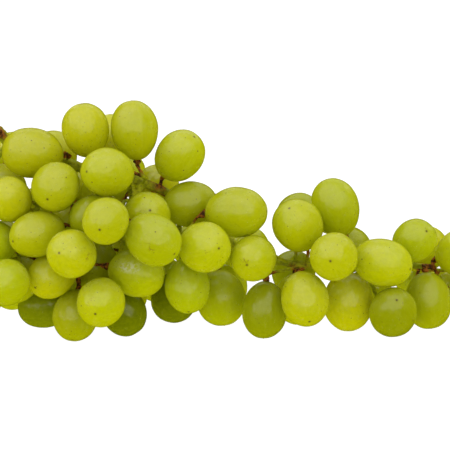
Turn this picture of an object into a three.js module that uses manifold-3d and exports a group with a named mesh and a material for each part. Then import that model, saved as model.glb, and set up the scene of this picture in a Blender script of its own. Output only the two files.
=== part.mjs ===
// A loose bunch of large white table grapes, picked and laid down on its side.
// Millimetres, +Z up. The bunch lies along X, its cut stalk towards -X and its tail towards +X,
// and it rests on Z = 0 with its origin under the middle of its box.

import * as THREE from 'three';
import { mergeVertices } from 'three/addons/utils/BufferGeometryUtils.js';
import Module from 'manifold-3d';

// Driving dimensions
const gap = 0.35;                      // left between pieces that touch

const berrySides = 10;
const ringAngles = [44, 78, 112, 147]; // rings of a berry, degrees round from its stalk end
const seatRadius = 2.2;                // flat on a berry that its stalk ends at
const eggShape = 0.04;                 // how much fuller a berry is towards its tip

const stalkRadius = 0.9;               // the little stalk of one berry
const stalkSides = 5;
const stalkRings = 4;
const collarRadius = 2.0;              // its flared end under the berry
const collarLength = 2.4;
const stalkLead = 2.6;                 // straight run out of the berry
const stalkBends = 5;                  // points that bend round the other berries
const stalkRoom = 0.6;                 // left between a stalk and the berries on its way
const stalkRounds = 40;
const stubDepth = 1.6;                 // reach of a sprig's stalks into their berries
const bareStubRadius = 0.8;            // stalks that have lost their berries

const branchSides = 6;
const ringSpacing = 8;                 // along the thicker stems
const footGap = 0.6;                   // left between a sprig's foot and the main stem

const beadsAlongBerry = 5;             // balls that fill a berry while the bunch settles
const collarRoom = 1.4;                // ball that keeps the neighbours off a collar
const settleRounds = 300;
const homingShare = 0.7;               // rounds that also draw each berry towards its place
const homePull = 0.05;
const depthPull = 0.01;
const climb = 0.25;                    // rise for each millimetre that a berry is squeezed to the front
const easeAcross = 0.45;               // share of a push that moves a berry in X and Z

// The stems and the berries on each. A path runs outwards through [x, y, z] points, with its
// radius at the foot and at the end. A berry row is its middle x, y, z, the way its tip points
// (heading in degrees anticlockwise from +X, lift in degrees above level), its width and its
// length. Each free branch grows into the main stem and carries separate berries. A joined one
// is a sprig on the far side: its stems and its berries are one solid.
const crown = {
  name: 'crown',
  radii: [3.3, 1.3],
  path: [
    [-120, 4, 88], [-105, 7, 84], [-91, 9, 78], [-84, 9, 71], [-71, 8, 69], [-58, 7, 63],
    [-37, 1, 60], [-25, 2, 55], [-14, 13, 45], [-1, 10, 35], [12, 5, 27],
    [26, -2, 26], [38, -3, 25], [51, -1, 26], [66, 0, 25], [84, 0, 24],
  ],
  berries: [
    [-55, 0, 80, 160, 80, 19, 22],
    [-36, 0, 80, 110, 75, 19, 24],
    [-46, 20, 71, 90, 55, 19, 23],
    [-18, -2, 70, 325, 50, 19, 23],
    [-29, 16, 53, 80, 5, 18, 22],
    [-16, 1, 50, 200, -10, 18, 22],
  ],
  bareStubs: [
    [[-33, 0, 58], [-31, -6, 62]],
    [[-37, 0, 59], [-36, -6, 53]],
    [[28, -3, 26], [28, -9, 26]],
  ],
};

const leftWing = {
  name: 'left_wing',
  radii: [1.8, 1.2],
  path: [[-66, 8, 66], [-70, 3, 59], [-74, 0, 50], [-79, -3, 40], [-83, -4, 31]],
  berries: [
    [-76, -6, 72, 185, 5, 20, 25],
    [-70, 25, 64, 100, 20, 19, 23],
    [-65, -20, 61, 255, -15, 19, 22],
    [-85, -18, 55, 250, 25, 18, 22],
    [-90, 8, 56, 135, 10, 18, 22],
    [-73, -24, 43, 220, -5, 18, 24],
    [-91, -14, 37, 240, 15, 19, 23],
    [-84, -31, 26, 250, -5, 18, 22],
    [-83, -6, 22, 220, -15, 18, 22],
  ],
};

const frontWing = {
  name: 'front_wing',
  radii: [1.8, 1.1],
  path: [[-48, 5, 62], [-51, -5, 57], [-55, -12, 46], [-58, -15, 34], [-58, -14, 26]],
  berries: [
    [-46, -20, 67, 225, 10, 19, 23],
    [-53, -14, 49, 250, 5, 18, 21],
    [-46, -33, 51, 260, -5, 18, 22],
    [-59, -36, 39, 245, 15, 19, 22],
    [-69, -19, 25, 235, -15, 18, 23],
    [-47, -9, 32, 240, -15, 18, 21],
    [-60, -22, 10, 260, -55, 18, 21],
    [-72, -6, 10, 165, -15, 18, 24],
  ],
};

const belly = {
  name: 'belly',
  radii: [1.8, 1.1],
  path: [[-33, 0, 59], [-36, -4, 50], [-39, -7, 40], [-42, -9, 30], [-44, -10, 22]],
  berries: [
    [-28, -33, 44, 320, -20, 20, 24],
    [-30, -12, 48, 280, 25, 19, 22],
    [-35, -20, 26, 350, -10, 19, 23],
    [-48, -34, 19, 260, -10, 19, 22],
    [-40, -18, 10, 325, -55, 18, 21],
  ],
};

const waist = {
  name: 'waist',
  radii: [1.6, 1.1],
  path: [[-14, 13, 46], [-18, 3, 42], [-18, -7, 37], [-17, -9, 28]],
  berries: [
    [4, -10, 48, 350, 4, 20, 25],
    [-8, -26, 39, 300, 10, 20, 24],
    [-15, -21, 22, 275, -50, 18, 23],
    [-20, 1, 10, 110, -60, 19, 22],
    [-2, -3, 12, 290, -70, 20, 23],
  ],
};

const tail = {
  name: 'tail',
  radii: [1.4, 1.1],
  path: [[22, 0, 26], [28, -8, 27], [32, -10, 26]],
  berries: [
    [11, -20, 34, 255, 0, 18, 22],
    [16, -20, 11, 260, -75, 18, 23],
    [31, -26, 18, 280, -35, 19, 24],
    [29, -12, 44, 240, 50, 20, 23],
    [30, 12, 41, 85, 25, 19, 23],
    [28, 18, 17, 95, -25, 18, 21],
    [29, -1, 11, 75, -60, 19, 22],
  ],
};

const tip = {
  name: 'tip',
  radii: [1.4, 1.1],
  path: [[46, -2, 26], [50, -8, 26], [56, -9, 25]],
  berries: [
    [43, -26, 35, 260, 5, 19, 22],
    [44, -2, 49, 155, 70, 19, 24],
    [50, -17, 14, 270, -65, 20, 24],
    [49, 14, 28, 55, -5, 19, 23],
    [62, -22, 29.5, 330, -5, 19, 25],
    [65, -16, 12, 275, 40, 19, 24],
    [75, -10, 37, 300, 35, 17, 21],
    [82, -7, 12, 295, -75, 19, 23],
    [93, 2, 28, 335, 20, 19, 23],
    [99, -4, 11, 340, -20, 19, 23],
    [44, 18, 42, 90, 15, 19, 22],
    [47, 31, 21, 70, -10, 18, 22],
  ],
};

const farLeftSprig = {
  name: 'far_left_sprig',
  radii: [1.5, 1.1],
  path: [[-86, 9, 73], [-92, 14, 67], [-97, 16, 58], [-99, 15, 48]],
  berries: [
    [-87, 28, 63, 80, 10, 18, 22],
    [-103, 2, 64, 190, 30, 18, 22],
    [-109, 8, 46, 180, 0, 19, 23],
    [-98, 28, 50, 120, 0, 18, 22],
    [-107, -8, 50, 220, 10, 18, 22],
  ],
};

const leftLowSprig = {
  name: 'left_low_sprig',
  radii: [1.4, 1.1],
  path: [[-80, -3, 38], [-87, 4, 38], [-92, 7, 26], [-95, 8, 18]],
  berries: [
    [-101, -10, 24, 210, 0, 18, 22],
    [-104, 10, 30, 160, 5, 18, 22],
    [-86, 20, 10, 130, -30, 18, 22],
    [-99, 2, 11, 200, -40, 18, 22],
    [-90, 23, 28, 110, 0, 18, 22],
  ],
};

const farTopSprig = {
  name: 'far_top_sprig',
  radii: [1.5, 1.1],
  path: [[-59, 7, 63], [-62, 16, 57], [-63, 22, 50], [-62, 26, 42]],
  berries: [
    [-61, 36, 48, 90, 20, 19, 23],
    [-76, 31, 40, 120, 0, 18, 22],
    [-58, 42, 31, 80, -10, 18, 22],
    [-63, 22, 36, 100, -40, 18, 22],
  ],
};

const farMiddleSprig = {
  name: 'far_middle_sprig',
  radii: [1.5, 1.1],
  path: [[-38, 2, 60], [-38, 12, 55], [-38, 20, 46], [-38, 24, 37]],
  berries: [
    [-41, 36, 53, 80, 20, 18, 22],
    [-29, 34, 42, 60, 0, 18, 22],
    [-48, 20, 48, 120, 10, 18, 22],
    [-44, 38, 26, 100, -20, 18, 22],
    [-28, 22, 30, 40, -20, 18, 22],
  ],
};

const farLowSprig = {
  name: 'far_low_sprig',
  radii: [1.4, 1.1],
  path: [[-40, -7, 38], [-46, 4, 33], [-52, 10, 27], [-57, 14, 21]],
  berries: [
    [-62, 14, 10, 200, -40, 18, 22],
    [-42, 16, 10, 340, -40, 18, 22],
    [-48, 18, 28, 60, 0, 18, 22],
    [-74, 12, 28, 170, 0, 18, 22],
    [-64, 32, 20, 110, -10, 18, 22],
  ],
};

const farWaistSprig = {
  name: 'far_waist_sprig',
  radii: [1.4, 1.1],
  path: [[-8, 11, 41], [-5, 18, 40], [-3, 22, 31], [-4, 21, 23]],
  berries: [
    [-8, 26, 38, 90, 10, 18, 22],
    [2, 18, 29, 30, 0, 18, 22],
    [-27, 18, 15, 150, -30, 18, 22],
    [0, 24, 10, 60, -40, 18, 22],
    [-13, 36, 24, 100, 0, 18, 22],
  ],
};

const farTailSprig = {
  name: 'far_tail_sprig',
  radii: [1.3, 1.0],
  path: [[64, 1, 26], [66, 9, 24], [73, 11, 22], [84, 10, 20], [92, 10, 20]],
  berries: [
    [58, 16, 10, 140, -30, 18, 22],
    [67, 20, 19, 110, 10, 18, 22],
    [78, 20, 11, 80, -10, 18, 22],
    [80, 15, 24, 60, 20, 18, 22],
    [93, 16, 12, 50, -20, 18, 22],
    [106, 8, 22, 0, 10, 18, 22],
  ],
};

const freeBranches = [crown, leftWing, frontWing, belly, waist, tail, tip];
const sprigs = [
  farLeftSprig, leftLowSprig, farTopSprig, farMiddleSprig, farLowSprig, farWaistSprig, farTailSprig,
];

const stemMaterial = new THREE.MeshStandardMaterial({ color: 0x7d8a34, roughness: 0.7, metalness: 0 });
const berryMaterial = new THREE.MeshStandardMaterial({ color: 0xafb424, roughness: 0.38, metalness: 0 });

const vectorOf = (point) => new THREE.Vector3(...point);

// ---- Stems ----

function radiusAlong(branch, t) {
  return THREE.MathUtils.lerp(branch.radii[0], branch.radii[1], Math.sqrt(t));
}

// The balls strung along a stem that berries are held off.
function ballsAlong(curve, radiusAt) {
  const count = Math.ceil(curve.getLength() / (2 * radiusAt(1)));
  return Array.from({ length: count + 1 }, (unused, k) => {
    return { middle: curve.getPointAt(k / count), radius: radiusAt(k / count) };
  });
}

function nearestBall(place, balls) {
  const distance = (ball) => ball.middle.distanceTo(place);
  return balls.reduce((best, ball) => (distance(ball) < distance(best) ? ball : best));
}

// A sprig starts just clear of the stem that it grows from.
function startClear(path, balls) {
  const nearest = nearestBall(vectorOf(path[0]), balls);
  const out = vectorOf(path[1]).sub(nearest.middle).normalize();
  return nearest.middle.clone().addScaledVector(out, nearest.radius + footGap);
}

function growStem(branch, start) {
  branch.curve = new THREE.CatmullRomCurve3([start, ...branch.path.slice(1).map(vectorOf)]);
  branch.balls = ballsAlong(branch.curve, (t) => radiusAlong(branch, t));
  branch.stubCurves = (branch.bareStubs ?? []).map((ends) => new THREE.LineCurve3(...ends.map(vectorOf)));
  for (const stub of branch.stubCurves) {
    branch.balls.push(...ballsAlong(stub, () => bareStubRadius));
  }
}

// ---- Berries and how they settle ----

function growBerry(branch, row, number) {
  const [x, y, z, heading, lift, width, length] = row;
  const pointing = new THREE.Vector3(1, 0, 0);
  pointing.applyAxisAngle(new THREE.Vector3(0, -1, 0), THREE.MathUtils.degToRad(lift));
  pointing.applyAxisAngle(new THREE.Vector3(0, 0, 1), THREE.MathUtils.degToRad(heading));
  const middle = new THREE.Vector3(x, y, z);
  const name = `${branch.name}_berry_${number}`;
  const berry = { name, branch, middle, home: middle.clone(), tip: pointing, width, length };
  berry.beads = beadsOf(berry);
  berry.collar = { offset: -length / 2 - collarRoom, radius: collarRoom };
  return berry;
}

// The balls strung along a berry that fill its rounded shape.
function beadsOf(berry) {
  const long = berry.length / 2;
  const short = berry.width / 2;
  const focus = long * long - short * short;
  return Array.from({ length: beadsAlongBerry }, (unused, k) => {
    const offset = focus / long * (2 * k / (beadsAlongBerry - 1) - 1);
    return { offset, radius: short * Math.sqrt(1 - offset * offset / focus) };
  });
}

function beadCentre(berry, bead) {
  return berry.middle.clone().addScaledVector(berry.tip, bead.offset);
}

function push(berry, direction, amount) {
  berry.middle.x += direction.x * amount * easeAcross;
  berry.middle.y += direction.y * amount;
  berry.middle.z += direction.z * amount * easeAcross;
}

// Two berries that press on each other move apart along the line between their closest balls.
function easeApart(one, other) {
  if (one.middle.distanceTo(other.middle) > one.length / 2 + other.length / 2 + 2 * collarRoom + gap) {
    return;
  }
  let deepest = 0;
  let direction = null;
  for (const bead of [...one.beads, one.collar]) {
    const here = beadCentre(one, bead);
    for (const otherBead of [...other.beads, other.collar]) {
      const away = beadCentre(other, otherBead).sub(here);
      const overlap = bead.radius + otherBead.radius + gap - away.length();
      if (overlap > deepest) {
        deepest = overlap;
        direction = away.normalize();
      }
    }
  }
  if (direction) {
    push(one, direction, -deepest / 2);
    push(other, direction, deepest / 2);
  }
}

function easeOffStems(berry, balls) {
  for (const ball of balls) {
    for (const bead of berry.beads) {
      const away = beadCentre(berry, bead).sub(ball.middle);
      const overlap = bead.radius + ball.radius + gap - away.length();
      if (overlap > 0) {
        push(berry, away.normalize(), overlap);
      }
    }
  }
}

function liftOffFloor(berry) {
  for (const bead of berry.beads) {
    berry.middle.z += Math.max(bead.radius - beadCentre(berry, bead).z, 0);
  }
}

function drawHome(berry) {
  const forward = berry.home.y - berry.middle.y;
  berry.middle.x += (berry.home.x - berry.middle.x) * homePull;
  berry.middle.y += forward * depthPull;
  berry.middle.z += (berry.home.z + climb * forward - berry.middle.z) * homePull;
}

function settle(berries, balls) {
  for (let round = 0; round < settleRounds; round += 1) {
    if (round < settleRounds * homingShare) {
      berries.forEach(drawHome);
    }
    berries.forEach((one, k) => {
      berries.slice(k + 1).forEach((other) => easeApart(one, other));
    });
    for (const berry of berries) {
      easeOffStems(berry, balls);
      liftOffFloor(berry);
    }
  }
}

// ---- The little stalks ----

function seatHeight(berry) {
  return berry.length / 2 * Math.cos(Math.asin(seatRadius / (berry.width / 2)));
}

function keepOff(point, berry) {
  for (const bead of berry.beads) {
    const away = point.clone().sub(beadCentre(berry, bead));
    const overlap = bead.radius + stalkRadius + stalkRoom - away.length();
    if (overlap > 0) {
      point.addScaledVector(away.normalize(), overlap);
    }
  }
}

// A stalk leaves its berry straight out of the seat, then bends round the berries to the nearest stem.
function stalkCurve(berry, berries, balls, clearance) {
  const out = berry.tip.clone().negate();
  const start = berry.middle.clone().addScaledVector(out, seatHeight(berry) + clearance);
  const leave = start.clone().addScaledVector(out, stalkLead);
  const foot = nearestBall(leave, balls).middle;
  const points = [start, leave];
  for (let k = 1; k <= stalkBends; k += 1) {
    points.push(leave.clone().lerp(foot, k / stalkBends));
  }
  for (let round = 0; round < stalkRounds; round += 1) {
    for (let k = 1; k < points.length - 1; k += 1) {
      const between = points[k - 1].clone().lerp(points[k + 1], 0.5);
      points[k].lerp(between, k > 1 ? 0.3 : 0);
      berries.forEach((other) => keepOff(points[k], other));
    }
  }
  return new THREE.CatmullRomCurve3(points);
}

// ---- Solids ----

// A cylinder bent along a curve, with its thickness set ring by ring.
function bentTube(curve, sides, rings, radiusAt) {
  const tube = new THREE.CylinderGeometry(1, 1, 1, sides, rings);
  const frames = curve.computeFrenetFrames(rings, false);
  const position = tube.attributes.position;
  for (let k = 0; k < position.count; k += 1) {
    const ring = Math.round((position.getY(k) + 0.5) * rings);
    const radius = radiusAt(ring / rings);
    const point = curve.getPointAt(ring / rings);
    point.addScaledVector(frames.normals[ring], position.getX(k) * radius);
    point.addScaledVector(frames.binormals[ring], -position.getZ(k) * radius);
    position.setXYZ(k, point.x, point.y, point.z);
  }
  return tube;
}

function stalkGeometry(curve) {
  const collarShare = collarLength / curve.getLength();
  const radiusAt = (t) => THREE.MathUtils.lerp(collarRadius, stalkRadius, Math.min(t / collarShare, 1));
  return bentTube(curve, stalkSides, stalkRings, radiusAt);
}

// An egg-shaped turned solid about Y, its tip up and the flat for its stalk at the bottom.
function berryGeometry(berry) {
  const seat = -seatHeight(berry);
  const profile = [new THREE.Vector2(0, seat), new THREE.Vector2(seatRadius, seat)];
  for (const degrees of ringAngles) {
    const angle = THREE.MathUtils.degToRad(degrees);
    const radius = berry.width / 2 * Math.sin(angle) * (1 - eggShape * Math.cos(angle));
    profile.push(new THREE.Vector2(radius, -berry.length / 2 * Math.cos(angle)));
  }
  profile.push(new THREE.Vector2(0, berry.length / 2));
  return new THREE.LatheGeometry(profile, berrySides);
}

function berryMesh(berry) {
  const mesh = new THREE.Mesh(berryGeometry(berry), berryMaterial);
  mesh.name = berry.name;
  mesh.position.copy(berry.middle);
  mesh.quaternion.setFromUnitVectors(new THREE.Vector3(0, 1, 0), berry.tip);
  mesh.updateMatrix();
  return mesh;
}

const wasm = await Module();
wasm.setup();

function solidOf(geometry) {
  const bare = geometry.clone();
  bare.deleteAttribute('normal');
  bare.deleteAttribute('uv');
  const merged = mergeVertices(bare);
  const vertProperties = new Float32Array(merged.attributes.position.array);
  const triVerts = new Uint32Array(merged.index.array);
  return new wasm.Manifold(new wasm.Mesh({ numProp: 3, vertProperties, triVerts }));
}

function joinedGeometry(geometries) {
  const joined = geometries.map(solidOf).reduce((sum, solid) => sum.add(solid)).getMesh();
  const geometry = new THREE.BufferGeometry();
  geometry.setAttribute('position', new THREE.BufferAttribute(joined.vertProperties, 3));
  geometry.setIndex(new THREE.BufferAttribute(joined.triVerts, 1));
  geometry.computeVertexNormals();
  return geometry;
}

function stemGeometries(branch, berries, balls, clearance) {
  const rings = Math.ceil(branch.curve.getLength() / ringSpacing);
  const own = bentTube(branch.curve, branchSides, rings, (t) => radiusAlong(branch, t));
  const stubs = branch.stubCurves.map((curve) => bentTube(curve, stalkSides, 1, () => bareStubRadius));
  const stalks = branch.berries.map((berry) => stalkGeometry(stalkCurve(berry, berries, balls, clearance)));
  return [own, ...stubs, ...stalks];
}

function stemMesh(branches, berries) {
  const balls = branches.flatMap((branch) => branch.balls);
  const pieces = branches.flatMap((branch) => stemGeometries(branch, berries, balls, gap));
  const mesh = new THREE.Mesh(joinedGeometry(pieces), stemMaterial);
  mesh.name = 'stem';
  return mesh;
}

function sprigMesh(sprig, berries) {
  const stems = stemGeometries(sprig, berries, sprig.balls, -stubDepth);
  const fruit = sprig.berries.map(berryMesh).map((mesh) => mesh.geometry.applyMatrix4(mesh.matrix));
  const mesh = new THREE.Mesh(joinedGeometry([...stems, ...fruit]), berryMaterial);
  mesh.name = sprig.name;
  return mesh;
}

// ---- The bunch ----

for (const branch of freeBranches) {
  growStem(branch, vectorOf(branch.path[0]));
}
const mainBalls = freeBranches.flatMap((branch) => branch.balls);
for (const sprig of sprigs) {
  growStem(sprig, startClear(sprig.path, mainBalls));
}
for (const branch of [...freeBranches, ...sprigs]) {
  branch.berries = branch.berries.map((row, k) => growBerry(branch, row, k + 1));
}
const allBerries = [...freeBranches, ...sprigs].flatMap((branch) => branch.berries);
settle(allBerries, [...mainBalls, ...sprigs.flatMap((sprig) => sprig.balls)]);

const bunch = new THREE.Group();
bunch.add(stemMesh(freeBranches, allBerries));
bunch.add(...freeBranches.flatMap((branch) => branch.berries).map(berryMesh));
bunch.add(...sprigs.map((sprig) => sprigMesh(sprig, allBerries)));

const box = new THREE.Box3().setFromObject(bunch, true);
const centre = box.getCenter(new THREE.Vector3());
bunch.position.set(-centre.x, -centre.y, -box.min.z);

export default bunch;
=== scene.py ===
"""A loose bunch of white table grapes lying on its side on a pale floor.

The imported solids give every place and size. Each ten-sided solid berry is measured and replaced by a
smooth one with its own small faults, and the stem and the twigs of the far sprigs get one grown skin
with warty seats where the berries sit.
"""
import math
import random

import bmesh
import bpy
from mathutils import Matrix, Vector, kdtree, noise


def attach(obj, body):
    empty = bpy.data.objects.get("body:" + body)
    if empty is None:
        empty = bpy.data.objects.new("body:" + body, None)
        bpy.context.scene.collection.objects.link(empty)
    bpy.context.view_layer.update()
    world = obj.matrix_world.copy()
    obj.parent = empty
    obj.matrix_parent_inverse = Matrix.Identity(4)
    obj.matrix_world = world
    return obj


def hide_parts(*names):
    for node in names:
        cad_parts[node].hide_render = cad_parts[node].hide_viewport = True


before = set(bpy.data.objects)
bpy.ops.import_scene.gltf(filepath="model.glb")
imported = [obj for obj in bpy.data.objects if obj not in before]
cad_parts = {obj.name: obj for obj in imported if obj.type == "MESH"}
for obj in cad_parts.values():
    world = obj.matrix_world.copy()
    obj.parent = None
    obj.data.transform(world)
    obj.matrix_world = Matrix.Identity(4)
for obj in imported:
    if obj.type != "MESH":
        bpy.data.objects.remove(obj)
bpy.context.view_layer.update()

# Lengths are in metres. Places are measured from the frame's origin, which lies on the floor under the
# middle of the bunch, with the cut stalk towards -X and the front towards -Y.
MM = 0.001
UP = Vector((0, 0, 1))

# How the solid berries are built, which is how they are recognised and measured. A tip's ring is uneven
# by less, and lies below the tip by more, than these shares of its radius.
SOLID_SIDES = 10
LAST_RING = math.radians(147)
EGG = 0.04
RING_UNEVENNESS = 0.02
TIP_RISE = 0.1
WELD = 0.001 * MM

# The smooth berries. Their rows lie a little closer together round the belly than at the ends, and the
# rings that close the tip are shares of the last row's radius.
BERRY_STEPS = 56
BERRY_ROWS = 34
ROW_EASING = 0.035
TIP_RINGS = (0.74, 0.5, 0.33, 0.2, 0.1, 0.0)
SCAR_RADIUS = 0.45 * MM
SCAR_KNOB_RADIUS = SCAR_RADIUS * 0.55
SCAR_HEIGHT = 0.14 * MM
TIP_DIMPLE_RADIUS = 1.9 * MM
TIP_DIMPLE_DEPTH = 0.16 * MM

# Soft lumps on the berries, and finer ones on them. They are more dent than swelling.
LUMP_SIZE = 8.5 * MM
LUMP_DEPTH = 0.22 * MM
LUMP_SINK = 0.3
FINE_LUMPS = 0.35
FINE_LUMPS_CLOSER = 2.3

# A pale grainy patch on the front of one berry.
PALE_PATCH_MIDDLE = Vector((-35.8, -32.4, 31.8)) * MM
PALE_PATCH_WIDTH = 4.4 * MM
PALE_PATCH_HEIGHT = 1.8 * MM

# The veins under the skin: how much longer than wide their pattern is along a berry, how large it is in
# berry radii, and how far one berry lies from the next for the pattern to have moved on by a radius.
VEIN_STRETCH = 3.5
VEIN_SIZE = 0.3125
VEIN_CHANGE = 3 * MM

# The stem and the twigs. A seat's middle stands off its berry by a share of the seat's thickness.
STEM_VOXEL = 0.36 * MM
SMOOTH_PASSES = 5
SEAT_RADIUS = 1.75 * MM
SEAT_THICKNESS = 0.75 * MM
SEAT_STANDOFF = 0.35
STALK_SHRINK = 0.16 * MM
WART_SIZE = 0.8 * MM
WART_HEIGHT = 0.42 * MM
WARTS_ON_GREEN = 0.2
RIB_SIZE = 2.6 * MM
RIB_HEIGHT = 0.22 * MM
RIB_SINK = 0.2
RUST_REACH = 6.2 * MM
STALK_KNOT = Vector((-90, 1.5, 79.5)) * MM
STALK_CUT = Vector((-122, 3, 87.6)) * MM

# Between these shares of the way out from a berry's middle, a sprig's solid is the berry's own skin.
SKIN_FROM = 0.9
SKIN_TO = 1.01

# How ripe a berry is, from green, 0, to golden, 1. The others are halfway, give or take a little, and
# those of the sprigs are anything in their range.
RIPENESS = {
    0.05: (
        "left_wing_berry_7",
        "front_wing_berry_8",
        "belly_berry_5",
        "waist_berry_3",
        "waist_berry_4",
        "tip_berry_7",
    ),
    0.25: (
        "left_wing_berry_8",
        "belly_berry_1",
        "belly_berry_3",
        "waist_berry_5",
        "tail_berry_5",
        "tip_berry_2",
    ),
    0.7: (
        "crown_berry_2",
        "left_wing_berry_3",
        "left_wing_berry_6",
        "front_wing_berry_3",
        "front_wing_berry_4",
        "front_wing_berry_7",
        "tail_berry_3",
        "tip_berry_1",
    ),
    0.95: (
        "crown_berry_1",
        "crown_berry_3",
        "crown_berry_5",
        "left_wing_berry_1",
        "left_wing_berry_2",
        "left_wing_berry_4",
        "left_wing_berry_5",
        "front_wing_berry_5",
        "tip_berry_3",
    ),
}
USUAL_RIPENESS = 0.5
RIPENESS_CHANCE = 0.05
SPRIG_RIPENESS = (0.2, 0.8)

# Shade painted into a berry's flesh, from 0 for berries in light to 1 for those deep in shade,
# with a usual value for the others and a range for the sprigs.
PAINTED_SHADE_GROUPS = {
    0.0: (
        "crown_berry_3",
        "left_wing_berry_5",
        "left_wing_berry_7",
        "front_wing_berry_4",
        "front_wing_berry_5",
        "belly_berry_3",
        "belly_berry_4",
        "waist_berry_2",
        "tip_berry_3",
        "tip_berry_5",
        "tip_berry_9",
    ),
    0.2: (
        "crown_berry_2",
        "left_wing_berry_1",
        "left_wing_berry_2",
        "left_wing_berry_3",
        "left_wing_berry_6",
        "front_wing_berry_3",
        "belly_berry_1",
        "waist_berry_1",
        "waist_berry_5",
        "tip_berry_2",
        "tip_berry_7",
    ),
    0.4: (
        "crown_berry_6",
        "front_wing_berry_7",
        "tail_berry_5",
        "tail_berry_6",
        "tip_berry_4",
        "tip_berry_8",
    ),
    0.6: ("front_wing_berry_2", "front_wing_berry_6", "tail_berry_2", "tip_berry_6"),
    0.85: ("front_wing_berry_8",),
    1.0: ("belly_berry_5", "waist_berry_4"),
}
USUAL_PAINTED_SHADE = 0.1
SPRIG_PAINTED_SHADE = (0.0, 0.25)

SPRIGS = (
    "far_left_sprig",
    "left_low_sprig",
    "far_top_sprig",
    "far_middle_sprig",
    "far_low_sprig",
    "far_waist_sprig",
    "far_tail_sprig",
)

# Colours, as linear red, green and blue.
UNRIPE_FLESH = (0.575, 0.654, 0.001)
RIPE_FLESH = (0.698, 0.692, 0.001)
# The next colour is painted shade, mixed into the flesh of berries that lie in shade.
SHADE_PAINTED_FLESH = (0.20, 0.24, 0.001)
FLESH_GRAIN = (0.42, 0.45, 0.003)
PALE_VEIN = (0.78, 0.80, 0.10)
# The next colour is the bloom, which also paints a sheen on what faces up.
BLOOM_AND_SHEEN = (0.72, 0.75, 0.24)
PALE_DUST = (0.80, 0.82, 0.30)
PORE_BROWN = (0.12, 0.085, 0.003)
FRECKLE_BROWN = (0.07, 0.040, 0.003)
SCUFF_RUST = (0.26, 0.15, 0.012)
SCAR_HALO = (0.17, 0.12, 0.010)
SCAR_BROWN = (0.045, 0.026, 0.004)
PALE_PATCH_COLOUR = (0.86, 0.87, 0.45)
GREEN_BARK = (0.450, 0.495, 0.003)
PALE_BARK = (0.640, 0.650, 0.012)
BARK_STREAK = (0.220, 0.230, 0.003)
DARK_RUST = (0.065, 0.022, 0.003)
RED_RUST = (0.420, 0.140, 0.010)
BARK_FLECK = (0.14, 0.065, 0.010)
WARM_WHITE = (1.0, 0.90, 0.86)
WHITE = (1.0, 1.0, 1.0)

# The studio. The sky brightens a little from just under the horizon, at height 0, to nearly overhead, 1.
FLOOR_RADIUS = 3.0
SKY_HEIGHTS = (-0.3, 0.9)
SKY_BRIGHTNESS = (0.70, 0.77)
LIGHTS_AIM = Vector((0, 0, 0.04))

# The camera looks straight on to the bunch's long side, and a little down.
CAMERA_AIM = Vector((1.7, -1.4, 41.1)) * MM
CAMERA_ELEVATION = math.radians(14)
CAMERA_DISTANCE = 1.1
FOCAL_LENGTH = 220
SENSOR_WIDTH = 36


# ---------------------------------------------------------------- reading the solids


class Berry:
    """One berry: its middle, the way its tip points, its width and its length."""

    def __init__(self, middle, axis, width, length):
        self.middle = middle
        self.axis = axis
        self.width = width
        self.length = length

    def seat(self):
        """Where the stalk meets the berry."""
        return self.middle - self.axis * self.length / 2

    def turn(self):
        """Turns up to the way the tip points."""
        return UP.rotation_difference(self.axis).to_matrix().to_4x4()

    def place(self):
        """Moves a berry modelled tip up at the origin to where and how it grows."""
        return Matrix.Translation(self.middle) @ self.turn()

    def way_out(self, point):
        """0 in the berry's middle, 1 on its surface and more outside."""
        arm = point - self.middle
        along = arm.dot(self.axis)
        across = (arm - self.axis * along).length
        height = along / (self.length / 2)
        girth = self.width / 2 * (1 + EGG * max(-1.0, min(1.0, height)))
        return math.hypot(height, across / girth)


def merged(node_name):
    """A copy of a solid with its loose triangles joined."""
    shape = bmesh.new()
    shape.from_mesh(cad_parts[node_name].data)
    bmesh.ops.remove_doubles(shape, verts=shape.verts, dist=WELD)
    return shape


def berry_at(tip):
    """The berry that a corner of a solid is the tip of, or None if it isn't a tip."""
    ring = [edge.other_vert(tip).co for edge in tip.link_edges]
    if len(ring) != SOLID_SIDES:
        return None
    middle = sum(ring, Vector()) / SOLID_SIDES
    reaches = [(corner - middle).length for corner in ring]
    reach = sum(reaches) / SOLID_SIDES
    rise = (tip.co - middle).length
    uneven = max(reaches) - min(reaches) > RING_UNEVENNESS * reach
    flat = rise < TIP_RISE * reach
    if uneven or flat:
        return None
    axis = (tip.co - middle).normalized()
    length = 2 * rise / (1 + math.cos(LAST_RING))
    width = 2 * reach / (math.sin(LAST_RING) * (1 - EGG * math.cos(LAST_RING)))
    return Berry(tip.co - axis * length / 2, axis, width, length)


def berries_in(shape):
    """Measures every berry in a merged solid, from its tip and the ring of corners next to the tip."""
    found = [berry for berry in map(berry_at, shape.verts) if berry]
    found.sort(key=lambda berry: berry.middle.x)
    return found


# ---------------------------------------------------------------- making pieces


def new_piece(name, shape):
    """A finished bmesh becomes a smooth-shaded object at the origin."""
    mesh = bpy.data.meshes.new(name)
    shape.to_mesh(mesh)
    shape.free()
    mesh.shade_smooth()
    piece = bpy.data.objects.new(name, mesh)
    bpy.context.scene.collection.objects.link(piece)
    return piece


def paint(piece, attribute, values):
    """Stores one number per corner for the finish to read."""
    layer = piece.data.attributes.new(attribute, "FLOAT", "POINT")
    layer.data.foreach_set("value", values)


def paint_places(piece, attribute, values):
    """Stores one place per corner for the finish to read, given as a flat list of numbers."""
    layer = piece.data.attributes.new(attribute, "FLOAT_VECTOR", "POINT")
    layer.data.foreach_set("vector", values)


# ---------------------------------------------------------------- berries


def tip_relief(radius):
    """How far the tip's scar stands up and its dimple sinks, so far from the axis."""
    dimple = math.exp(-((radius / TIP_DIMPLE_RADIUS) ** 2))
    knob = math.exp(-((radius / SCAR_KNOB_RADIUS) ** 4))
    return SCAR_HEIGHT * knob - TIP_DIMPLE_DEPTH * dimple


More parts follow.
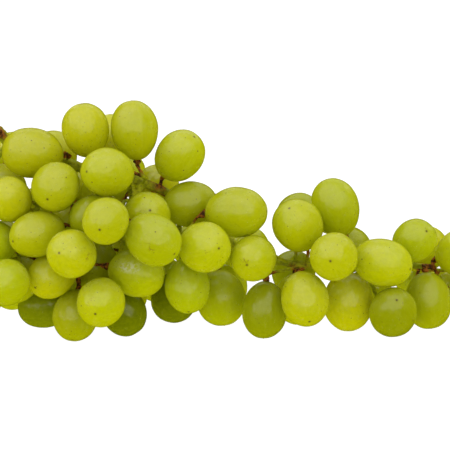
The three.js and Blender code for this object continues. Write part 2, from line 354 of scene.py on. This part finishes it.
def berry_outline(berry):
    """Half a berry's outline from stalk end to tip: radius and height, with the tip's dimple and scar."""
    points = []
    for row in range(BERRY_ROWS):
        share = row / BERRY_ROWS
        eased = share + ROW_EASING * math.sin(2 * math.pi * share)
        angle = math.pi * eased
        radius = berry.width / 2 * math.sin(angle) * (1 - EGG * math.cos(angle))
        height = -berry.length / 2 * math.cos(angle)
        points.append([max(radius, 0.0), height])
    last_row_radius = points[-1][0]
    for share in TIP_RINGS:
        radius = last_row_radius * share
        drop = berry.length / 2 * (1 - math.sqrt(1 - (radius / (berry.width / 2)) ** 2))
        points.append([radius, berry.length / 2 - drop])
    for point in points:
        if point[1] >= 0:
            point[1] += tip_relief(point[0])
    return points


def spun_berry(berry):
    """A smooth closed berry, tip up at the origin."""
    shape = bmesh.new()
    corners = [shape.verts.new((radius, 0, height)) for radius, height in berry_outline(berry)]
    line = [shape.edges.new(pair) for pair in zip(corners, corners[1:])]
    bmesh.ops.spin(
        shape,
        geom=corners + line,
        cent=(0, 0, 0),
        axis=(0, 0, 1),
        dvec=(0, 0, 0),
        angle=2 * math.pi,
        steps=BERRY_STEPS,
        use_merge=True,
    )
    bmesh.ops.remove_doubles(shape, verts=shape.verts, dist=WELD)
    bmesh.ops.recalc_face_normals(shape, faces=shape.faces)
    return shape


def add_lumps(shape):
    """Soft lumps and dents all over a berry."""
    shape.normal_update()
    for vertex in shape.verts:
        coarse = noise.noise(vertex.co / LUMP_SIZE)
        fine = noise.noise(vertex.co / LUMP_SIZE * FINE_LUMPS_CLOSER)
        lump = coarse + FINE_LUMPS * fine
        vertex.co += vertex.normal * LUMP_DEPTH * (lump - LUMP_SINK)


def scar_at(corner):
    """1 on the tip of an upright berry, fading to nothing around it."""
    if corner.z <= 0:
        return 0.0
    across = math.hypot(corner.x, corner.y)
    return math.exp(-((across / SCAR_RADIUS) ** 2))


def vein_place(corner, berry):
    """Where a corner of an upright berry lies in the vein pattern, which runs from stalk to tip."""
    across = max(math.hypot(corner.x, corner.y), WELD)
    along = corner.z / (berry.width / 2) / VEIN_STRETCH
    return Vector((corner.x / across, corner.y / across, along)) + berry.middle / VEIN_CHANGE


def pale_patch_at(point):
    """1 in the middle of the pale patch, fading to nothing around it."""
    arm = point - PALE_PATCH_MIDDLE
    across = math.hypot(arm.x, arm.y) / PALE_PATCH_WIDTH
    up = arm.z / PALE_PATCH_HEIGHT
    return math.exp(-(across**4) - up**4)


def grow_berry(name, berry, ripeness, painted_shade):
    """One smooth berry with its scar, soft lumps and colour, where the solid one is."""
    shape = spun_berry(berry)
    scars = [scar_at(vertex.co) for vertex in shape.verts]
    veins = [number for vertex in shape.verts for number in vein_place(vertex.co, berry)]
    bmesh.ops.transform(shape, matrix=berry.place(), verts=shape.verts)
    add_lumps(shape)
    piece = new_piece(name, shape)
    count = len(piece.data.vertices)
    pale_patch = [pale_patch_at(vertex.co) for vertex in piece.data.vertices]
    paint_places(piece, "veins", veins)
    paint(piece, "scar", scars)
    paint(piece, "pale_patch", pale_patch)
    paint(piece, "ripeness", [ripeness] * count)
    # Paints shade into the berry's flesh.
    paint(piece, "painted_shade", [painted_shade] * count)
    piece.data.materials.append(bpy.data.materials["grape_skin"])
    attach(piece, "root")
    return piece


# ---------------------------------------------------------------- stem and twigs


def add_seat(shape, berry):
    """The warty cushion between a stalk and its berry, added to a stem as one more closed shell."""
    squash = Matrix.Diagonal((SEAT_RADIUS, SEAT_RADIUS, SEAT_THICKNESS, 1))
    middle = berry.seat() - berry.axis * SEAT_THICKNESS * SEAT_STANDOFF
    place = Matrix.Translation(middle) @ berry.turn() @ squash
    bmesh.ops.create_icosphere(shape, subdivisions=3, radius=1, matrix=place)


def cut_berries_off(shape, berries):
    """Leaves only the twig of a sprig, closed again where its stalks met the berries."""
    held = {
        vertex
        for vertex in shape.verts
        if any(SKIN_FROM < berry.way_out(vertex.co) < SKIN_TO for berry in berries)
    }
    skins = [face for face in shape.faces if all(vertex in held for vertex in face.verts)]
    bmesh.ops.delete(shape, geom=skins, context="FACES")
    loose = [vertex for vertex in shape.verts if not vertex.link_faces]
    bmesh.ops.delete(shape, geom=loose, context="VERTS")
    rims = [edge for edge in shape.edges if edge.is_boundary]
    bmesh.ops.holes_fill(shape, edges=rims, sides=0)


def one_skin(piece):
    """Joins the overlapping shells of a stem into one closed skin."""
    remesh = piece.modifiers.new("skin", "REMESH")
    remesh.mode = "VOXEL"
    remesh.voxel_size = STEM_VOXEL
    evaluated = piece.evaluated_get(bpy.context.evaluated_depsgraph_get())
    grown = bpy.data.meshes.new_from_object(evaluated)
    piece.modifiers.clear()
    piece.data = grown


def shell_from(start, seen):
    """Every corner joined to a start corner by edges."""
    seen.add(start)
    shell = [start]
    for corner in shell:
        for edge in corner.link_edges:
            other = edge.other_vert(corner)
            if other not in seen:
                seen.add(other)
                shell.append(other)
    return shell


def drop_crumbs(shape):
    """Keeps only the largest shell, because a voxel skin can leave crumbs inside its walls."""
    seen = set()
    shells = [shell_from(corner, seen) for corner in shape.verts if corner not in seen]
    shells.sort(key=len)
    for crumb in shells[:-1]:
        bmesh.ops.delete(shape, geom=crumb, context="VERTS")


def soften(shape):
    """Rounds off the steps that a voxel skin has."""
    for _ in range(SMOOTH_PASSES):
        bmesh.ops.smooth_vert(
            shape, verts=shape.verts, factor=0.5, use_axis_x=True, use_axis_y=True, use_axis_z=True
        )


def brown_places(berries):
    """A search tree of where the bark is brown: at the berries, at the knot and at the cut end."""
    places = [berry.seat() for berry in berries] + [STALK_KNOT, STALK_CUT]
    tree = kdtree.KDTree(len(places))
    for index, place in enumerate(places):
        tree.insert(place, index)
    tree.balance()
    return tree


def roughen(shape, brown):
    """Ribs the bark, with warts mostly where it is brown. Returns how rusty each corner is."""
    shape.normal_update()
    rust = []
    for vertex in shape.verts:
        away = brown.find(vertex.co)[2]
        near = math.exp(-((away / RUST_REACH) ** 2))
        rib = abs(noise.noise(vertex.co / RIB_SIZE)) - RIB_SINK
        wart = noise.noise(vertex.co / WART_SIZE)
        warty = WARTS_ON_GREEN + (1 - WARTS_ON_GREEN) * near
        swell = RIB_HEIGHT * rib + WART_HEIGHT * wart * warty - STALK_SHRINK * near
        vertex.co += vertex.normal * swell
        rust.append(near)
    return rust


def grow_stem(name, shape, berries):
    """Gives a stem or a twig its grown skin: rounded, ribbed, and warty and rusty where it is brown."""
    for berry in berries:
        add_seat(shape, berry)
    piece = new_piece(name, shape)
    one_skin(piece)
    skin = bmesh.new()
    skin.from_mesh(piece.data)
    drop_crumbs(skin)
    soften(skin)
    rust = roughen(skin, brown_places(berries))
    skin.to_mesh(piece.data)
    skin.free()
    piece.data.shade_smooth()
    paint(piece, "rust", rust)
    piece.data.materials.clear()
    piece.data.materials.append(bpy.data.materials["green_stem"])
    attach(piece, "root")
    return piece


# ---------------------------------------------------------------- finishes


class Finish:
    """A new node material, with short ways to add and join its nodes."""

    def __init__(self, name):
        material = bpy.data.materials.new(name)
        material.use_nodes = True
        self.tree = material.node_tree
        self.shader = self.tree.nodes["Principled BSDF"]
        self.places = self.add("ShaderNodeTexCoord").outputs["Object"]

    def add(self, kind, **settings):
        """A new node with its settings."""
        node = self.tree.nodes.new(kind)
        for key, value in settings.items():
            setattr(node, key, value)
        return node

    def join(self, output, socket):
        """Links one node's output to another's socket."""
        self.tree.links.new(output, socket)

    def painted(self, attribute):
        """The numbers that paint() stored."""
        return self.add("ShaderNodeAttribute", attribute_name=attribute).outputs["Fac"]

    def painted_places(self, attribute):
        """The places that paint_places() stored."""
        return self.add("ShaderNodeAttribute", attribute_name=attribute).outputs["Vector"]

    def cloud(self, size, detail=3.0, roughness=0.55, places=None):
        """Soft noise whose patches are about size across, from 0 to 1."""
        node = self.add("ShaderNodeTexNoise")
        node.inputs["Scale"].default_value = 1 / size
        node.inputs["Detail"].default_value = detail
        node.inputs["Roughness"].default_value = roughness
        self.join(self.places if places is None else places, node.inputs["Vector"])
        return node.outputs["Fac"]

    def winding_lines(self, cloud):
        """0 along the winding lines where a cloud is halfway, and more away from them."""
        return self.math("ABSOLUTE", self.math("SUBTRACT", cloud, 0.5))

    def dots(self, spacing, radius, share):
        """1 inside small round dots about spacing apart, of which only a share is there."""
        node = self.add("ShaderNodeTexVoronoi")
        node.inputs["Scale"].default_value = 1 / spacing
        self.join(self.places, node.inputs["Vector"])
        pick = self.add("ShaderNodeSeparateColor")
        self.join(node.outputs["Color"], pick.inputs["Color"])
        edge = (0.6 * radius / spacing, 1.4 * radius / spacing)
        dot = self.spread(node.outputs["Distance"], edge, to=(1.0, 0.0))
        kept = self.spread(pick.outputs["Red"], (share - 0.1, share + 0.1), to=(0.9, 0.0))
        return self.math("MULTIPLY", dot, kept)

    def spread(self, value, span, to=(0.0, 1.0)):
        """value's way through span becomes its way through to, smoothly and no further."""
        node = self.add("ShaderNodeMapRange", interpolation_type="SMOOTHSTEP")
        node.inputs["From Min"].default_value = span[0]
        node.inputs["From Max"].default_value = span[1]
        node.inputs["To Min"].default_value = to[0]
        node.inputs["To Max"].default_value = to[1]
        self.join(value, node.inputs["Value"])
        return node.outputs["Result"]

    def math(self, operation, *values):
        """A sum on numbers or outputs."""
        node = self.add("ShaderNodeMath", operation=operation)
        for socket, value in zip(node.inputs, values):
            if isinstance(value, (int, float)):
                socket.default_value = value
            else:
                self.join(value, socket)
        return node.outputs["Value"]

    def mix(self, share, first, second):
        """Colour first where share is 0, and second where it is 1."""
        node = self.add("ShaderNodeMix", data_type="RGBA")
        self.join(share, node.inputs["Factor"])
        for socket, value in ((node.inputs[6], first), (node.inputs[7], second)):
            if isinstance(value, tuple):
                socket.default_value = (*value, 1)
            else:
                self.join(value, socket)
        return node.outputs[2]

    def bump(self, height, depth):
        """Fine relief, up to depth high."""
        node = self.add("ShaderNodeBump")
        node.inputs["Distance"].default_value = depth
        self.join(height, node.inputs["Height"])
        self.join(node.outputs["Normal"], self.shader.inputs["Normal"])

    def colour(self, output):
        """Sets the surface's colour."""
        self.join(output, self.shader.inputs["Base Color"])

    def roughness(self, output):
        """Sets how dull the surface is."""
        self.join(output, self.shader.inputs["Roughness"])


def flesh(finish):
    """Flesh from green to golden, with shade painted darker into some berries, and a fine grain."""
    mottle = finish.spread(finish.cloud(9 * MM), (0.3, 0.7), to=(-0.12, 0.12))
    ripe = finish.math("ADD", finish.painted("ripeness"), mottle)
    plain = finish.mix(ripe, UNRIPE_FLESH, RIPE_FLESH)
    # Painted shade: darker flesh for berries that lie in shade.
    shaded = finish.mix(finish.painted("painted_shade"), plain, SHADE_PAINTED_FLESH)
    grain = finish.spread(finish.cloud(1.3 * MM, detail=4.0), (0.35, 0.70), to=(0.0, 0.26))
    return finish.mix(grain, shaded, FLESH_GRAIN)


def veined(finish, under, outside_painted_shade):
    """Faint pale veins from stalk to tip, fading where shade is painted into the flesh."""
    places = finish.painted_places("veins")
    lines = finish.winding_lines(finish.cloud(VEIN_SIZE, roughness=0.5, places=places))
    vein = finish.math("MULTIPLY", finish.spread(lines, (0.0, 0.055), to=(0.13, 0.0)), outside_painted_shade)
    return finish.mix(vein, under, PALE_VEIN)


def bloomed_with_painted_sheen(finish, under, outside_painted_shade, wax):
    """A waxy bloom thickest where the wax is, and a painted sheen: paler on what faces up, fading in
    painted shade.
    """
    facing = finish.add("ShaderNodeSeparateXYZ")
    finish.join(finish.add("ShaderNodeNewGeometry").outputs["Normal"], facing.inputs["Vector"])
    # Painted sheen: the bloom is paler on what faces up, where the light falls.
    painted_sheen_upward = finish.spread(facing.outputs["Z"], (-0.4, 0.9), to=(0.0, 0.20))
    bloom_and_sheen = finish.math("MULTIPLY", finish.math("MULTIPLY", wax, painted_sheen_upward), outside_painted_shade)
    return finish.mix(bloom_and_sheen, under, BLOOM_AND_SHEEN)


def dusted(finish, under, wax):
    """Pale specks, more of them where the wax is thick."""
    specks = finish.dots(spacing=1.0 * MM, radius=0.17 * MM, share=0.6)
    dust = finish.math("MULTIPLY", specks, finish.spread(wax, (0.3, 0.9), to=(0.1, 0.5)))
    return finish.mix(dust, under, PALE_DUST)


def pores_in_groups(finish):
    """1 inside small pores, most of which lie in loose groups."""
    group = finish.spread(finish.cloud(6 * MM, detail=2.0), (0.45, 0.56), to=(0.08, 1.0))
    return finish.math("MULTIPLY", finish.dots(spacing=1.6 * MM, radius=0.19 * MM, share=0.62), group)


def scuffed(finish, under):
    """A rare rusty scuff of thin winding lines."""
    lines = finish.winding_lines(finish.cloud(6 * MM, detail=4.0))
    thin = finish.spread(lines, (0.002, 0.010), to=(0.8, 0.0))
    rare = finish.spread(finish.cloud(11 * MM, detail=1.0), (0.695, 0.75))
    return finish.mix(finish.math("MULTIPLY", thin, rare), under, SCUFF_RUST)


def pale_patched(finish, under):
    """The pale patch, broken into grains."""
    grains = finish.spread(finish.cloud(0.9 * MM, detail=5.0), (0.42, 0.58), to=(0.05, 0.95))
    pale_patch = finish.math("MULTIPLY", finish.painted("pale_patch"), grains)
    return finish.mix(pale_patch, under, PALE_PATCH_COLOUR)


def grape_skin():
    """Thin waxy skin over clear flesh, with brown dots, a scar at the tip, and here and there a fault."""
    finish = Finish("grape_skin")
    # 1 where no shade is painted in the flesh; the veins and the bloom fade in painted shade.
    outside_painted_shade = finish.math("SUBTRACT", 1.0, finish.painted("painted_shade"))
    wax_patches = finish.cloud(6 * MM, detail=6.0, roughness=0.62)
    wax = finish.spread(wax_patches, (0.35, 0.68), to=(0.10, 1.0))
    pores = pores_in_groups(finish)
    freckles = finish.dots(spacing=5.0 * MM, radius=0.29 * MM, share=0.40)
    scar_halo = finish.spread(finish.painted("scar"), (0.02, 0.30), to=(0.0, 0.45))
    scar = finish.spread(finish.painted("scar"), (0.40, 0.80), to=(0.0, 0.9))

    skin = veined(finish, flesh(finish), outside_painted_shade)
    skin = bloomed_with_painted_sheen(finish, skin, outside_painted_shade, wax)
    skin = dusted(finish, skin, wax)
    skin = finish.mix(pores, skin, PORE_BROWN)
    skin = finish.mix(freckles, skin, FRECKLE_BROWN)
    skin = scuffed(finish, skin)
    skin = finish.mix(scar_halo, skin, SCAR_HALO)
    skin = finish.mix(scar, skin, SCAR_BROWN)
    finish.colour(pale_patched(finish, skin))

    dry = finish.math("MAXIMUM", finish.math("MAXIMUM", pores, freckles), scar)
    waxy = finish.spread(wax, (0.10, 1.0), to=(0.15, 0.30))
    finish.roughness(finish.math("MAXIMUM", waxy, dry))
    grit = finish.math("MULTIPLY", finish.cloud(1.2 * MM, detail=4.0), 0.3)
    relief = finish.math("ADD", finish.cloud(4.5 * MM, detail=2.0), grit)
    finish.bump(relief, depth=0.32 * MM)
    shader = finish.shader.inputs
    shader["Specular IOR Level"].default_value = 0.2
    shader["Subsurface Weight"].default_value = 0.95
    shader["Subsurface Radius"].default_value = (1.0, 0.95, 0.12)
    shader["Subsurface Scale"].default_value = 16 * MM


def green_stem():
    """Streaky green bark that turns to rust and dark brown towards the berries, flecked all over."""
    finish = Finish("green_stem")
    age = finish.cloud(6 * MM, detail=5.0)
    green = finish.mix(finish.spread(age, (0.35, 0.65)), GREEN_BARK, PALE_BARK)
    streak = finish.spread(finish.cloud(1.4 * MM, detail=5.0), (0.44, 0.62), to=(0.0, 0.62))
    streaked = finish.mix(streak, green, BARK_STREAK)
    rusty = finish.spread(finish.math("ADD", finish.painted("rust"), age), (0.66, 1.08))
    speck = finish.spread(finish.cloud(1.6 * MM), (0.42, 0.58))
    brown = finish.mix(speck, DARK_RUST, RED_RUST)
    barked = finish.mix(rusty, streaked, brown)
    flecks = finish.dots(spacing=1.6 * MM, radius=0.17 * MM, share=0.5)
    finish.colour(finish.mix(flecks, barked, BARK_FLECK))

    finish.roughness(finish.spread(age, (0.3, 0.7), to=(0.5, 0.75)))
    finish.bump(finish.cloud(0.8 * MM, detail=6.0), depth=0.22 * MM)
    shader = finish.shader.inputs
    shader["Specular IOR Level"].default_value = 0.08
    shader["Subsurface Weight"].default_value = 0.08
    shader["Subsurface Radius"].default_value = (1.0, 0.8, 0.2)
    shader["Subsurface Scale"].default_value = 1 * MM


def pale_floor():
    """A floor that shines by itself, so that it is evenly white."""
    shader = Finish("pale_floor").shader.inputs
    shader["Base Color"].default_value = (0.1, 0.1, 0.1, 1)
    shader["Emission Color"].default_value = (*WHITE, 1)
    shader["Emission Strength"].default_value = 1.0
    shader["Roughness"].default_value = 0.8


grape_skin()
green_stem()
pale_floor()


# ---------------------------------------------------------------- the bunch


def listed(groups, name, otherwise):
    """The value of the group that a name is in."""
    for value, names in groups.items():
        if name in names:
            return value
    return otherwise


seated_on_stem = []
for node_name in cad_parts:
    if "_berry_" not in node_name:
        continue
    solid = merged(node_name)
    berry = berries_in(solid)[0]
    solid.free()
    chance = random.Random(node_name)
    ripeness = listed(RIPENESS, node_name, USUAL_RIPENESS)
    ripeness += chance.uniform(-RIPENESS_CHANCE, RIPENESS_CHANCE)
    # Shade painted into the berry's flesh, from its group or the usual value.
    painted_shade = listed(PAINTED_SHADE_GROUPS, node_name, USUAL_PAINTED_SHADE)
    piece = grow_berry(node_name + "_skin", berry, ripeness, painted_shade)
    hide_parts(node_name)
    seated_on_stem.append(berry)

for node_name in SPRIGS:
    solid = merged(node_name)
    berries = berries_in(solid)
    for number, berry in enumerate(berries, 1):
        name = f"{node_name}_berry_{number}"
        chance = random.Random(name)
        ripeness = chance.uniform(*SPRIG_RIPENESS)
        # Shade painted into the sprig's berries, anywhere in its range.
        painted_shade = chance.uniform(*SPRIG_PAINTED_SHADE)
        piece = grow_berry(name, berry, ripeness, painted_shade)
        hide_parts(node_name)
    cut_berries_off(solid, berries)
    twig = grow_stem(node_name + "_twig", solid, berries)
    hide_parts(node_name)

bark = grow_stem("stem_bark", merged("stem"), seated_on_stem)
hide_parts("stem")


# ---------------------------------------------------------------- floor, light and camera


def lay_floor():
    """A white floor that the camera sees, but that neither lights the bunch nor is mirrored in it."""
    shape = bmesh.new()
    bmesh.ops.create_circle(shape, cap_ends=True, radius=FLOOR_RADIUS, segments=64)
    floor = new_piece("floor", shape)
    floor.data.materials.append(bpy.data.materials["pale_floor"])
    floor.visible_glossy = False
    floor.visible_diffuse = False
    floor.visible_shadow = False


def hang_sky():
    """An even white sky, a little brighter overhead, that isn't mirrored in the bunch."""
    sky = bpy.data.worlds.new("white_room")
    sky.use_nodes = True
    tree = sky.node_tree
    background = tree.nodes["Background"]
    background.inputs["Color"].default_value = (*WHITE, 1)
    split = tree.nodes.new("ShaderNodeSeparateXYZ")
    tree.links.new(tree.nodes.new("ShaderNodeTexCoord").outputs["Generated"], split.inputs["Vector"])
    rise = tree.nodes.new("ShaderNodeMapRange")
    rise.inputs["From Min"].default_value = SKY_HEIGHTS[0]
    rise.inputs["From Max"].default_value = SKY_HEIGHTS[1]
    rise.inputs["To Min"].default_value = SKY_BRIGHTNESS[0]
    rise.inputs["To Max"].default_value = SKY_BRIGHTNESS[1]
    tree.links.new(split.outputs["Z"], rise.inputs["Value"])
    tree.links.new(rise.outputs["Result"], background.inputs["Strength"])
    sky.cycles_visibility.glossy = False
    bpy.context.scene.world = sky


def softbox(name, place, width, height, watts, colour=WHITE, only_sheen=False):
    """An evenly lit rectangle that faces the bunch. One for sheen only is mirrored but lights nothing."""
    light = bpy.data.lights.new(name, "AREA")
    light.shape = "RECTANGLE"
    light.size = width
    light.size_y = height
    light.energy = watts
    light.color = colour
    lamp = bpy.data.objects.new(name, light)
    lamp.location = place
    lamp.visible_camera = False
    lamp.visible_diffuse = not only_sheen
    lamp.rotation_mode = "QUATERNION"
    lamp.rotation_quaternion = (LIGHTS_AIM - Vector(place)).to_track_quat("-Z", "Y")
    bpy.context.scene.collection.objects.link(lamp)


def set_up_camera():
    """A long lens, straight on to the bunch's long side and looking a little down."""
    lens = bpy.data.cameras.new("camera")
    lens.lens = FOCAL_LENGTH
    lens.sensor_width = SENSOR_WIDTH
    lens.clip_start = 0.05
    camera = bpy.data.objects.new("camera", lens)
    back = Vector((0, -math.cos(CAMERA_ELEVATION), math.sin(CAMERA_ELEVATION)))
    camera.location = CAMERA_AIM + back * CAMERA_DISTANCE
    camera.rotation_mode = "QUATERNION"
    camera.rotation_quaternion = (-back).to_track_quat("-Z", "Y")
    bpy.context.scene.collection.objects.link(camera)
    bpy.context.scene.camera = camera


lay_floor()
hang_sky()
softbox("key_light", place=(-0.22, -0.46, 0.95), width=1.0, height=1.0, watts=0.5)
softbox(
    "sheen_light",
    place=(-0.27, -0.59, 0.87),
    width=4.4,
    height=2.2,
    watts=96,
    colour=WARM_WHITE,
    only_sheen=True,
)
softbox("rim_light", place=(0.20, 0.65, 1.05), width=2.4, height=1.4, watts=10, only_sheen=True)
set_up_camera()
bpy.context.scene.view_settings.view_transform = "Standard"
